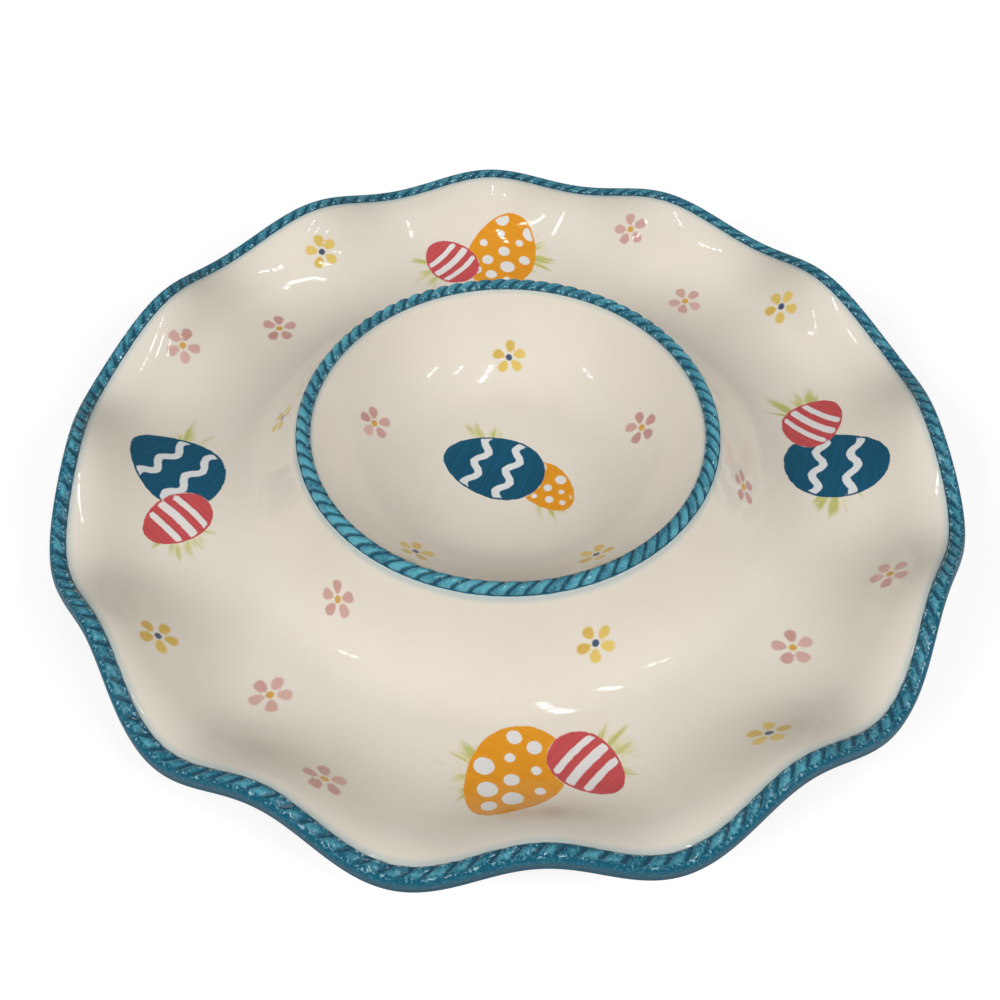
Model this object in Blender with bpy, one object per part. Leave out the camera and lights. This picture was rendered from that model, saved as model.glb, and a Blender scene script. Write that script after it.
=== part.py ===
"""Ruffled stoneware chip and dip platter: a fluted round dish with a dip bowl rising in its middle,
rope-twist edges on both rims, and two unglazed foot rings below.
Metres, +Z up, origin on the table at the centre of the platter."""

from math import cos, hypot, pi, radians, sin, tau

import bmesh
import bpy

# Ruffled rim of the dish: the middle of its rope, the height of the lip at the rope's inner side,
# the slope of the seat below the rope, and the plain edge outside
RIM_RADIUS = 0.184
RIM_HEIGHT = 0.033
SEAT_DROP = 0.0026
RIM_EDGE = 0.0026
RUFFLES = 12
RUFFLE_LIFT = 0.0060
RUFFLE_REACH = 0.0033

# Trough for the chips, on its glazed upper surface
TROUGH_RADIUS = 0.123
TROUGH_HEIGHT = 0.013

# Dip bowl: the crest that carries its rope, and its floor
BOWL_RIM_RADIUS = 0.0845
BOWL_RIM_HEIGHT = 0.0462
BOWL_FLOOR_RADIUS = 0.040
BOWL_FLOOR_HEIGHT = 0.014

# How full the curves are: the reach of each end's handle as a share of the curve's run and rise,
# and how late the flutes grow on their way from the trough to the rim
COLLAR_TOP_HANDLE = (0.20, 0.34)
COLLAR_FOOT_HANDLE = (0.50, 0.0)
SIDE_FOOT_HANDLE = (0.74, 0.0)
SIDE_LIP_HANDLE = (0.34, 0.12)
BOWL_FOOT_HANDLE = (0.50, 0.0)
BOWL_TOP_HANDLE = (0.24, 0.50)
FLUTE_GROWTH = 1.25

# Clay walls and the joints between the pieces
WALL = 0.0065
JOINT_DEPTH = 0.006
JOINT_GAP = 0.0003

# Rope edges: a half-round bead cut by slanting grooves
RIM_ROPE_WIDTH = 0.0069
BOWL_ROPE_WIDTH = 0.0062
ROPE_RISE = 0.0028
GROOVE_DEPTH = 0.0009
RIM_STRANDS = 162
BOWL_STRANDS = 80
STRAND_LEAN = 0.8
STRAND_FORM = (1.0, 0.0, 0.0)

# Foot rings that the platter stands on
DISH_FOOT_WIDTH = 0.008
BOWL_FOOT_RADIUS = 0.034
BOWL_FOOT_WIDTH = 0.006
FOOT_CHAMFER = 0.001

# Fineness of the facets
STEPS_PER_RUFFLE = 8
TURN_STEPS = 48
COLLAR_STEPS = 6
SIDE_STEPS = 8
BEAD_STEPS = 4
SHARP_ANGLE = radians(40)

CREAM_GLAZE = (0.79, 0.74, 0.66, 1.0)
TEAL_GLAZE = (0.012, 0.150, 0.225, 1.0)
BISCUIT = (0.66, 0.58, 0.47, 1.0)


def material(name, colour, roughness):
    """A plain fired finish."""
    made = bpy.data.materials.new(name)
    made.use_nodes = True
    shader = made.node_tree.nodes["Principled BSDF"]
    shader.inputs["Base Color"].default_value = colour
    shader.inputs["Roughness"].default_value = roughness
    shader.inputs["Metallic"].default_value = 0.0
    return made


def curve(start, leave, arrive, end, steps):
    """Points of a cubic curve in the (radius, height) plane, both ends included. leave and arrive are
    the handles at its two ends, as shares of the distance between them."""
    run = end[0] - start[0]
    rise = end[1] - start[1]
    first = (start[0] + leave[0] * run, start[1] + leave[1] * rise)
    second = (end[0] - arrive[0] * run, end[1] - arrive[1] * rise)
    points = []
    for step in range(steps + 1):
        share = step / steps
        rest = 1.0 - share
        weights = (rest**3, 3 * rest**2 * share, 3 * rest * share**2, share**3)
        corners = (start, first, second, end)
        points.append(tuple(sum(w * c[axis] for w, c in zip(weights, corners)) for axis in (0, 1)))
    return points


def below(points, depth):
    """The same line moved square to itself by depth, to its underside, for a line that runs outwards."""
    moved = []
    for index, (radius, height) in enumerate(points):
        before = points[max(index - 1, 0)]
        after = points[min(index + 1, len(points) - 1)]
        run = after[0] - before[0]
        rise = after[1] - before[1]
        length = hypot(run, rise)
        moved.append((radius + depth * rise / length, height - depth * run / length))
    return moved


def collar_line():
    """Outer slope of the bowl, from its crest down to the trough."""
    crest = (BOWL_RIM_RADIUS + BOWL_ROPE_WIDTH / 2, BOWL_RIM_HEIGHT)
    trough = (TROUGH_RADIUS, TROUGH_HEIGHT)
    return curve(crest, COLLAR_TOP_HANDLE, COLLAR_FOOT_HANDLE, trough, COLLAR_STEPS)


def side_line():
    """Fluted side of the dish, from the trough out to the rope on the rim."""
    trough = (TROUGH_RADIUS, TROUGH_HEIGHT)
    lip = (RIM_RADIUS - RIM_ROPE_WIDTH / 2, RIM_HEIGHT)
    return curve(trough, SIDE_FOOT_HANDLE, SIDE_LIP_HANDLE, lip, SIDE_STEPS)


def bowl_line():
    """Inside of the bowl, from the edge of its floor up to its crest."""
    floor = (BOWL_FLOOR_RADIUS, BOWL_FLOOR_HEIGHT)
    crest = (BOWL_RIM_RADIUS - BOWL_ROPE_WIDTH / 2, BOWL_RIM_HEIGHT)
    return curve(floor, BOWL_FOOT_HANDLE, BOWL_TOP_HANDLE, crest, SIDE_STEPS)


def ruffled(radius, height, share, angle):
    """A point of the dish at that angle. The flutes grow with share, from none to the whole ruffle:
    the rim runs outwards where it dips and inwards where it lifts."""
    wave = -share * cos(RUFFLES * angle)
    out = radius - RUFFLE_REACH * wave
    return (out * cos(angle), out * sin(angle), height + RUFFLE_LIFT * wave)


def flute_share(step):
    """How much of the ruffle the side of the dish has, step by step from the trough to the rim."""
    return (step / SIDE_STEPS) ** FLUTE_GROWTH


def dish_upper():
    """Glazed upper side of the dish from the bowl's crest to the lip, as (radius, height, flute share)."""
    line = collar_line()[:-1] + side_line()
    shares = [0.0] * COLLAR_STEPS + [flute_share(step) for step in range(SIDE_STEPS + 1)]
    return [(radius, height, share) for (radius, height), share in zip(line, shares)]


def dish_under():
    """Underside of the dish from the joint with the bowl to the rim. It takes every second point of
    the upper side, counted from the trough."""
    upper = dish_upper()
    inner = BOWL_RIM_RADIUS + JOINT_GAP / 2
    outer = RIM_RADIUS + RIM_ROPE_WIDTH / 2 - WALL
    joint_foot = BOWL_RIM_HEIGHT - JOINT_DEPTH
    under = [(inner, joint_foot, 0.0)]
    for index, (radius, height) in enumerate(below([point[:2] for point in upper], WALL)):
        kept = (index - COLLAR_STEPS) % 2 == 0
        if kept and inner < radius < outer and height < joint_foot:
            under.append((radius, height, upper[index][2]))
    return under


def dish_section():
    """Closed outline of the dish as (radius, height, flute share)."""
    inner = BOWL_RIM_RADIUS + JOINT_GAP / 2
    outer = RIM_RADIUS + RIM_ROPE_WIDTH / 2
    edge = RIM_HEIGHT - SEAT_DROP
    section = [(inner, BOWL_RIM_HEIGHT, 0.0)] + dish_upper()
    section += [(outer, edge, 1.0), (outer, edge - RIM_EDGE, 1.0)]
    return section + dish_under()[::-1]


def bowl_under():
    """Underside of the bowl from the axis to the joint with the dish, as (radius, height)."""
    outer = BOWL_RIM_RADIUS - JOINT_GAP / 2
    joint_foot = BOWL_RIM_HEIGHT - JOINT_DEPTH
    under = [(0.0, BOWL_FLOOR_HEIGHT - WALL)]
    under += [point for point in below(bowl_line(), WALL)[::2] if point[0] < outer and point[1] < joint_foot]
    under.append((outer, joint_foot))
    return under


def bowl_section():
    """Outline of the bowl from the axis over its crest and back to the axis, as (radius, height)."""
    crest = (BOWL_RIM_RADIUS - JOINT_GAP / 2, BOWL_RIM_HEIGHT)
    return [(0.0, BOWL_FLOOR_HEIGHT)] + bowl_line() + [crest] + bowl_under()[::-1]


def height_at(line, radius):
    """Height of a line of (radius, height) points at a radius."""
    for (inner, low), (outer, high) in zip(line, line[1:]):
        if inner <= radius <= outer:
            return low + (high - low) * (radius - inner) / (outer - inner)
    return line[-1][1]


def foot_section(radius, width, underside):
    """Closed outline of a foot ring that reaches from the table up to the clay above it."""
    inner = radius - width / 2
    outer = radius + width / 2
    top = [(place, height_at(underside, place) - JOINT_GAP) for place in (inner, radius, outer)]
    return top + [
        (outer, FOOT_CHAMFER),
        (outer - FOOT_CHAMFER, 0.0),
        (inner + FOOT_CHAMFER, 0.0),
        (inner, FOOT_CHAMFER),
    ]


def finished(name, mesh, finish, parent):
    """Puts a mesh into the scene as one named piece of the platter."""
    mesh.materials.append(finish)
    mesh.shade_smooth()
    mesh.set_sharp_from_angle(angle=SHARP_ANGLE)
    piece = bpy.data.objects.new(name, mesh)
    piece.parent = parent
    bpy.context.scene.collection.objects.link(piece)
    return piece


def ring_of_sections(name, sections, finish, parent):
    """A closed ring lofted through sections that stand round the axis."""
    shape = bmesh.new()
    loops = [[shape.verts.new(point) for point in section] for section in sections]
    count = len(loops[0])
    for here, there in zip(loops, loops[1:] + loops[:1]):
        for index in range(count):
            after = (index + 1) % count
            shape.faces.new((here[index], here[after], there[after], there[index]))
    bmesh.ops.recalc_face_normals(shape, faces=shape.faces)
    mesh = bpy.data.meshes.new(name)
    shape.to_mesh(mesh)
    shape.free()
    return finished(name, mesh, finish, parent)


def turned(name, section, closed, finish, parent):
    """A piece turned round the axis from its outline. An open outline starts and ends on the axis."""
    mesh = bpy.data.meshes.new(name)
    last = len(section) - 1
    edges = [(index, index + 1) for index in range(last)]
    if closed:
        edges.append((last, 0))
    mesh.from_pydata([(radius, 0.0, height) for radius, height in section], edges, [])
    piece = finished(name, mesh, finish, parent)
    screw = piece.modifiers.new("turn", "SCREW")
    screw.steps = TURN_STEPS
    screw.render_steps = TURN_STEPS
    screw.use_merge_vertices = True
    screw.merge_threshold = 0.00001
    screw.use_smooth_shade = True
    return piece


def dish_facet_point(radius, height, share, angle):
    """A point that lies on the dish's flat facets, between the two sections on either side of it."""
    steps = RUFFLES * STEPS_PER_RUFFLE
    place = angle / tau * steps
    before = int(place // 1)
    part = place - before
    low = ruffled(radius, height, share, before / steps * tau)
    high = ruffled(radius, height, share, (before + 1) / steps * tau)
    return tuple(a + part * (b - a) for a, b in zip(low, high))


def rope_sections(strands, radius, width, seat, drop, share):
    """Sections of a rope bead on its seat. A strand is a groove and the two shoulders of its ridge.
    The inner side of each section is moved along the rim one way and its outer side the other way,
    so that the grooves slant over the bead."""
    pitch = tau / strands
    sections = []
    for strand in range(strands):
        for part, groove in enumerate(STRAND_FORM):
            section = []
            for step in range(BEAD_STEPS + 1):
                turn = pi * (1.0 - step / BEAD_STEPS)
                reach = radius + width / 2 * cos(turn)
                base = seat + JOINT_GAP - drop * (1.0 + cos(turn)) / 2
                rise = (ROPE_RISE - GROOVE_DEPTH * groove) * sin(turn)
                slant = -STRAND_LEAN / 2 * sin(2 * turn)
                angle = pitch * (strand + part / len(STRAND_FORM) + slant)
                x, y, z = dish_facet_point(reach, base, share, angle)
                section.append((x, y, z + rise))
            sections.append(section)
    return sections


for existing in list(bpy.data.objects):
    bpy.data.objects.remove(existing, do_unlink=True)

cream = material("cream_glaze", CREAM_GLAZE, 0.12)
teal = material("teal_glaze", TEAL_GLAZE, 0.18)
biscuit = material("unglazed_biscuit", BISCUIT, 0.85)

platter = bpy.data.objects.new("chip_and_dip_platter", None)
bpy.context.scene.collection.objects.link(platter)

dish_steps = RUFFLES * STEPS_PER_RUFFLE
dish_sections = [
    [ruffled(radius, height, share, step / dish_steps * tau) for radius, height, share in dish_section()]
    for step in range(dish_steps)
]
ring_of_sections("ruffled_dish", dish_sections, cream, platter)
turned("dip_bowl", bowl_section(), False, cream, platter)

rim_bead = rope_sections(RIM_STRANDS, RIM_RADIUS, RIM_ROPE_WIDTH, RIM_HEIGHT, SEAT_DROP, 1.0)
ring_of_sections("rim_rope", rim_bead, teal, platter)
bowl_bead = rope_sections(BOWL_STRANDS, BOWL_RIM_RADIUS, BOWL_ROPE_WIDTH, BOWL_RIM_HEIGHT, 0.0, 0.0)
ring_of_sections("bowl_rope", bowl_bead, teal, platter)

dish_clay = [(radius, height) for radius, height, share in dish_under()]
turned("dish_foot_ring", foot_section(TROUGH_RADIUS, DISH_FOOT_WIDTH, dish_clay), True, biscuit, platter)
bowl_foot = foot_section(BOWL_FOOT_RADIUS, BOWL_FOOT_WIDTH, bowl_under())
turned("bowl_foot_ring", bowl_foot, True, biscuit, platter)
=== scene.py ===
"""Looks of the ruffled chip and dip platter: glazed and painted stoneware with rope-twist edges.
Metres, +Z up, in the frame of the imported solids. Painted patterns are laid out in millimetres."""

from math import pi, radians, tau

import bpy
import numpy as np
from mathutils import Matrix, Vector


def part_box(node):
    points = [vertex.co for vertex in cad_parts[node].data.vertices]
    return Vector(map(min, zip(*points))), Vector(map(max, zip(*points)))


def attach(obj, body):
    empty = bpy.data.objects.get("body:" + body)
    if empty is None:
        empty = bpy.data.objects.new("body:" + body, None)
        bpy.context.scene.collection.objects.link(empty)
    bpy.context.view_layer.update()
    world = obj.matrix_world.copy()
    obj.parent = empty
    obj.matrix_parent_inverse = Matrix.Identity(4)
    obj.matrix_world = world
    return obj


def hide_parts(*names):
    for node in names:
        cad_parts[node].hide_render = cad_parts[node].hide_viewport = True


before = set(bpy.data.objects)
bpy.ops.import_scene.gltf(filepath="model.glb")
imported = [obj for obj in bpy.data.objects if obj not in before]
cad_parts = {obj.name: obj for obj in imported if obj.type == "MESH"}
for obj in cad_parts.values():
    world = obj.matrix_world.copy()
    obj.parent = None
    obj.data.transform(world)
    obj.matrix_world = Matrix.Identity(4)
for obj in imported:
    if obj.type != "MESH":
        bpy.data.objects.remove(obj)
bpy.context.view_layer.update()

bpy.context.scene.view_settings.view_transform = "Standard"

# Ruffled dish: the stoneware ring that holds the chips. It is pressed over a mould, from the crest that it
# shares with the bowl, down into the trough and up a fluted side to the ruffled rim. It is painted by hand,
# dipped in clear gloss glaze over cream slip, and its edge is painted teal.
MM = 0.001
CREST_RADIUS = 0.0845
CREST_HEIGHT = 0.0462
BOWL_ROPE_WIDTH = 0.0062
TROUGH_RADIUS = 0.123
TROUGH_HEIGHT = 0.013
RIM_RADIUS = 0.184
RIM_HEIGHT = 0.033
RIM_ROPE_WIDTH = 0.0069
SEAT_DROP = 0.0026
SEAT_CREASE = 0.0001
RIM_EDGE = 0.0035
RIM_EDGE_ROUNDING = 0.0014
RUFFLES = 12
RUFFLE_LIFT = 0.0060
RUFFLE_REACH = 0.0033
FLUTE_GROWTH = 1.25
WALL = 0.0065
JOINT_DEPTH = 0.006

# Reach of the curves' handles, as shares of the run and rise between a curve's ends
COLLAR_TOP_HANDLE = (0.20, 0.34)
COLLAR_FOOT_HANDLE = (0.50, 0.0)
SIDE_FOOT_HANDLE = (0.74, 0.0)
SIDE_LIP_HANDLE = (0.34, 0.12)

# Fineness of the mesh
FINE_STEP = 0.0012
COARSE_STEP = 0.0050
STEPS_PER_RUFFLE = 56
RIM_EDGE_STEPS = 8
CURVE_TRIALS = 400
WELD = 0.002 * MM


def linear(code):
    """A linear colour from an sRGB hex value."""
    channels = [int(code[place : place + 2], 16) / 255 for place in (1, 3, 5)]
    return [c / 12.92 if c <= 0.04045 else ((c + 0.055) / 1.055) ** 2.4 for c in channels] + [1.0]


# Kinds of node that come up most
MATH = "ShaderNodeMath"
MIX = "ShaderNodeMix"
NOISE = "ShaderNodeTexNoise"
RANGE = "ShaderNodeMapRange"


def add(tree, kind, inputs=(), **settings):
    """Adds a node. settings are the node's own properties. inputs feeds its sockets, as a row in their
    order or by the names of live ones, from a node's first live output, a socket or a plain value."""
    made = tree.nodes.new(kind)
    for name, value in settings.items():
        setattr(made, name, value)
    names = {socket.name: at for at, socket in enumerate(made.inputs) if socket.enabled}
    for place, value in inputs.items() if isinstance(inputs, dict) else enumerate(inputs):
        socket = made.inputs[names.get(place, place)]
        if isinstance(value, bpy.types.Node):
            value = next(output for output in value.outputs if output.enabled)
        if isinstance(value, bpy.types.NodeSocket):
            tree.links.new(value, socket)
        else:
            socket.default_value = value
    return made


def new_material(name):
    """An empty material, its tree, and the place on the piece that its patterns follow."""
    material = bpy.data.materials.new(name)
    material.use_nodes = True
    tree = material.node_tree
    tree.nodes.clear()
    return material, tree, add(tree, "ShaderNodeTexCoord").outputs["Object"]


# Cream slip where the glaze lies thin and where it pools, and the specks of iron in it
SLIP_THIN = "#f0e8db"
SLIP_POOLED = "#e6decf"
SPECK = "#c4b59c"

# Paints of the decoration: name, thin and thick colour, how well it covers the slip below, and how softly
# its edge runs out, in mm. The first is teal glaze that creeps into the clear glaze beside a rope, widened
# and darkened there as painted shade along the rope, and the edge is the teal on the rim's plain side and
# below the ropes.
PAINTS = [
    ("bleed_and_shade", "#c3d0cd", "#a8c0c2", 0.75, 1.60),
    ("leaf", "#e3dd92", "#b9bb4e", 0.80, 4.00),
    ("yellow", "#ebcd68", "#d6ae3c", 0.92, 0.45),
    ("rose", "#dfb2a7", "#c48c82", 0.90, 0.45),
    ("navy", "#3a5a7c", "#22395a", 0.95, 0.35),
    ("ochre", "#e3b557", "#cf9433", 0.95, 0.35),
    ("teal", "#1a5d7c", "#104a64", 1.0, 0.22),
    ("orange", "#f0a42a", "#e0901e", 1.0, 0.22),
    ("coral", "#d45a5c", "#bf4b4e", 1.0, 0.22),
    ("white", "#e4e9ee", "#f4f1ea", 0.92, 0.25),
    ("edge", "#10627e", "#0d5670", 1.0, 0.22),
]

# Sizes of the glaze's pools, specks and swells, and of the wobble of the brush
POOL_SIZE = 38 * MM
SPECK_SIZE = 1.1 * MM
SWELL_SIZE = 16 * MM
WOBBLE_SIZE = 3.2 * MM

# How far, in mm, a painted edge wobbles and the tips of leaf blades stray
EDGE_WOBBLE = 0.4
BLADE_RAGGEDNESS = 6.0

# Bristle marks per mm along and across a stroke, how much they change its load, how far paint stands up
# against the swells, and how much duller the teal edge is than the clear glaze
BRISTLES = (0.05, 0.9, 1.0)
STREAK_LOAD = 0.3
PAINT_RELIEF = 0.12
EDGE_DULLING = 0.42


def painted_glaze():
    """Gloss-glazed stoneware over cream slip. The glaze pools and thins a little, so that reflections
    waver, and the brush-painted colours below it have crisp edges and streaks along the stroke."""
    material, tree, place = new_material("gloss_glazed_cream_stoneware")
    usual_noise = {"From Min": 0.3, "From Max": 0.7}

    pooling = add(tree, NOISE, {"Vector": place, "Scale": 1 / POOL_SIZE, "Detail": 3.0})
    grain = add(tree, NOISE, {"Vector": place, "Scale": 1 / SPECK_SIZE, "Detail": 2.0})
    specks = add(tree, RANGE, {"Value": grain, "From Min": 0.715, "From Max": 0.76, "To Max": 0.35})
    slip_colours = {"Factor": pooling, "A": linear(SLIP_THIN), "B": linear(SLIP_POOLED)}
    slip = add(tree, MIX, slip_colours, data_type="RGBA")
    colour = add(tree, MIX, {"Factor": specks, "A": slip, "B": linear(SPECK)}, data_type="RGBA")

    wobble = add(tree, NOISE, {"Vector": place, "Scale": 1 / WOBBLE_SIZE, "Detail": 2.0})
    shift = add(tree, RANGE, {"Value": wobble, "To Min": -EDGE_WOBBLE, "To Max": EDGE_WOBBLE}, clamp=False)
    tone = add(tree, "ShaderNodeAttribute", attribute_name="tone").outputs["Fac"]
    stroke = add(tree, "ShaderNodeAttribute", attribute_name="stroke").outputs["Vector"]
    bristles = add(tree, "ShaderNodeMapping", {"Vector": stroke, "Scale": BRISTLES})
    streaks = add(tree, NOISE, {"Vector": bristles, "Scale": 1.0, "Detail": 3.0})
    streak_reach = {"To Min": -STREAK_LOAD, "To Max": STREAK_LOAD}
    spread = add(tree, RANGE, {"Value": streaks, **usual_noise, **streak_reach})
    load = add(tree, MATH, (tone, spread), operation="ADD", use_clamp=True)
    fan = add(tree, "ShaderNodeAttribute", attribute_name="blade").outputs["Vector"]
    blades = add(tree, NOISE, {"Vector": fan, "Scale": 1.0, "Detail": 2.0})
    tip_reach = {"To Min": BLADE_RAGGEDNESS, "To Max": -BLADE_RAGGEDNESS}
    tips = add(tree, RANGE, {"Value": blades, **usual_noise, **tip_reach})
    blade_load = add(tree, RANGE, {"Value": blades, "From Min": 0.35, "From Max": 0.65})
    thickness = 0.0
    for name, thin, thick, covering, softness in PAINTS:
        field = add(tree, "ShaderNodeAttribute", attribute_name=name).outputs["Fac"]
        outline = tips if name == "leaf" else shift
        rough_field = add(tree, MATH, (field, outline), operation="ADD")
        soft_edge = {"Value": rough_field, "From Min": softness, "From Max": -softness, "To Max": covering}
        mask = add(tree, RANGE, soft_edge, interpolation_type="SMOOTHSTEP")
        layer = blade_load if name == "leaf" else load
        paint_colours = {"Factor": layer, "A": linear(thin), "B": linear(thick)}
        paint = add(tree, MIX, paint_colours, data_type="RGBA")
        colour = add(tree, MIX, {"Factor": mask, "A": colour, "B": paint}, data_type="RGBA")
        thickness = add(tree, MATH, (thickness, mask), operation="MAXIMUM")
    edge_mask = mask

    swell = add(tree, NOISE, {"Vector": place, "Scale": 1 / SWELL_SIZE, "Detail": 1.0})
    raised = add(tree, MATH, (thickness, PAINT_RELIEF, swell), operation="MULTIPLY_ADD")
    bump = add(tree, "ShaderNodeBump", {"Height": raised, "Strength": 0.5, "Distance": 0.25 * MM})
    gloss = add(tree, RANGE, {"Value": pooling, **usual_noise, "To Min": 0.045, "To Max": 0.09})
    dulled = add(tree, MATH, (edge_mask, EDGE_DULLING, gloss), operation="MULTIPLY_ADD")
    looks = {"Base Color": colour, "Roughness": dulled, "Normal": bump}
    shader = add(tree, "ShaderNodeBsdfPrincipled", {**looks, "IOR": 1.52, "Specular IOR Level": 0.36})
    add(tree, "ShaderNodeOutputMaterial", {"Surface": shader})
    return material


def new_tree(name, inputs):
    """An empty Geometry Nodes tree with inputs named under their kinds, and what these give."""
    tree = bpy.data.node_groups.new(name, "GeometryNodeTree")
    for kind, names in inputs.items():
        for socket in names:
            tree.interface.new_socket(socket, in_out="INPUT", socket_type=f"NodeSocket{kind}")
    tree.interface.new_socket("Piece", in_out="OUTPUT", socket_type="NodeSocketGeometry")
    return tree, add(tree, "NodeGroupInput").outputs


def end_tree(tree, shape, finish, smooth=True):
    """Welds a tree's shape where its ends meet, smooths it and gives it its finish."""
    closed = add(tree, "GeometryNodeMergeByDistance", {"Geometry": shape, "Distance": WELD})
    smoothed = add(tree, "GeometryNodeSetShadeSmooth", {"Geometry": closed, "Shade Smooth": smooth})
    real = add(tree, "GeometryNodeRealizeInstances", {"Geometry": smoothed})
    finished = add(tree, "GeometryNodeSetMaterial", {"Geometry": real, "Material": finish})
    add(tree, "NodeGroupOutput", {"Piece": finished})


def turned_clay():
    """A tree that turns an outline of (radius, height) points round the axis. The outline's flute value
    says how much of the ruffle each point takes, and its along value is kept for the painter."""
    ruffle = ["Ruffles", "Lift", "Reach"]
    inputs = {"Geometry": ["Outline"], "Int": ["Steps round"], "Float": ruffle, "Material": ["Finish"]}
    tree, given = new_tree("turned_clay", inputs)

    counts = add(tree, "GeometryNodeAttributeDomainSize", {"Geometry": given["Outline"]}).outputs
    points = counts["Point Count"]
    columns = add(tree, MATH, (given["Steps round"], 1.0), operation="ADD")
    grid = add(tree, "GeometryNodeMeshGrid", {"Vertices X": points, "Vertices Y": columns})
    share = add(tree, "ShaderNodeSeparateXYZ", {"Vector": grid.outputs["UV Map"]}).outputs
    last = add(tree, MATH, (points, 1.0), operation="SUBTRACT")
    row = add(tree, MATH, (share["X"], last), operation="MULTIPLY")
    index = add(tree, MATH, (row,), operation="ROUND")
    angle = add(tree, MATH, (share["Y"], tau), operation="MULTIPLY")

    position = add(tree, "GeometryNodeInputPosition")
    flute = add(tree, "GeometryNodeInputNamedAttribute", {"Name": "flute"}, data_type="FLOAT")
    along = add(tree, "GeometryNodeInputNamedAttribute", {"Name": "along"}, data_type="FLOAT")
    sources = {"position": (position, "FLOAT_VECTOR"), "flute": (flute, "FLOAT"), "along": (along, "FLOAT")}
    taken = {}
    for name, (value, kind) in sources.items():
        reading = {"Geometry": given["Outline"], "Value": value, "Index": index}
        taken[name] = add(tree, "GeometryNodeSampleIndex", reading, data_type=kind)
    flat = add(tree, "ShaderNodeSeparateXYZ", {"Vector": taken["position"]}).outputs

    turns = add(tree, MATH, (angle, given["Ruffles"]), operation="MULTIPLY")
    crest = add(tree, MATH, (turns,), operation="COSINE")
    dip = add(tree, MATH, (crest, taken["flute"]), operation="MULTIPLY")
    radius = add(tree, MATH, (dip, given["Reach"], flat["X"]), operation="MULTIPLY_ADD")
    fall = add(tree, MATH, (dip, given["Lift"]), operation="MULTIPLY")
    height = add(tree, MATH, (flat["Z"], fall), operation="SUBTRACT")
    section = add(tree, "ShaderNodeCombineXYZ", {"X": radius, "Z": height})
    place = add(tree, "ShaderNodeVectorRotate", {"Vector": section, "Angle": angle}, rotation_type="Z_AXIS")

    shaped = add(tree, "GeometryNodeSetPosition", {"Geometry": grid, "Position": place})
    mark = {"Geometry": shaped, "Name": "along", "Value": taken["along"]}
    marked = add(tree, "GeometryNodeStoreNamedAttribute", mark)
    end_tree(tree, marked, given["Finish"])
    return tree


def outline_mesh(points):
    """An outline for turned_clay from rows of (radius, height, flute)."""
    points = np.asarray(points, float)
    mesh = bpy.data.meshes.new("outline")
    mesh.from_pydata([(radius, 0.0, height) for radius, height, flute in points], [], [])
    steps = np.hypot(np.diff(points[:, 0]), np.diff(points[:, 1]))
    values = {"flute": points[:, 2], "along": np.concatenate([[0.0], np.cumsum(steps)])}
    for name, column in values.items():
        mesh.attributes.new(name, "FLOAT", "POINT").data.foreach_set("value", column)
    return mesh


def grown(name, tree, seed, sizes):
    """Runs a tree on a seed mesh and keeps what it makes as one plain mesh."""
    piece = bpy.data.objects.new(name, seed)
    bpy.context.scene.collection.objects.link(piece)
    modifier = piece.modifiers.new(tree.name, "NODES")
    modifier.node_group = tree
    for socket in tree.interface.items_tree:
        if socket.in_out == "INPUT" and socket.name in sizes:
            modifier[socket.identifier] = sizes[socket.name]
    evaluated = piece.evaluated_get(bpy.context.evaluated_depsgraph_get())
    mesh = bpy.data.meshes.new_from_object(evaluated)
    mesh.name = name
    piece.modifiers.clear()
    piece.data = mesh
    return piece


def bend(start, leave, arrive, end, step):
    """Points about step apart on a cubic curve, as rows of (radius, height, share of the curve). leave and
    arrive are the handles at its two ends, as shares of the run and rise between them."""
    start, leave, arrive, end = (np.array(value) for value in (start, leave, arrive, end))
    span = end - start
    corners = np.array([start, start + leave * span, end - arrive * span, end])

    def at(share):
        rest = 1 - share
        weights = np.stack([rest**3, 3 * rest**2 * share, 3 * rest * share**2, share**3], axis=1)
        return weights @ corners

    trial = np.linspace(0, 1, CURVE_TRIALS)
    lengths = np.concatenate([[0.0], np.cumsum(np.hypot(*np.diff(at(trial), axis=0).T))])
    count = max(int(round(lengths[-1] / step)), 2)
    share = np.interp(np.linspace(0, lengths[-1], count + 1), lengths, trial)
    return np.column_stack([at(share), share])


def below(line, depth):
    """The same rows moved square to their line by depth, to the underside of a line that runs outwards."""
    way = np.gradient(line[:, :2], axis=0)
    way /= np.hypot(way[:, 0], way[:, 1])[:, None]
    return np.column_stack([line[:, 0] + depth * way[:, 1], line[:, 1] - depth * way[:, 0], line[:, 2]])


def rounded(before, corner, after, size, steps):
    """A rounded corner between two straight stretches, as rows like theirs."""
    before, corner, after = (np.array(value) for value in (before, corner, after))
    first = corner + (before - corner) * size / np.linalg.norm((before - corner)[:2])
    last = corner + (after - corner) * size / np.linalg.norm((after - corner)[:2])
    share = np.linspace(0, 1, steps + 1)[:, None]
    return first * (1 - share) ** 2 + 2 * corner * share * (1 - share) + last * share**2


def thinned(line, step):
    """Rows of a line at about step apart, with both its ends."""
    lengths = np.concatenate([[0.0], np.cumsum(np.hypot(*np.diff(line[:, :2], axis=0).T))])
    count = max(int(round(lengths[-1] / step)), 1)
    wanted = np.linspace(0, lengths[-1], count + 1)
    return np.column_stack([np.interp(wanted, lengths, line[:, column]) for column in range(3)])


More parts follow.
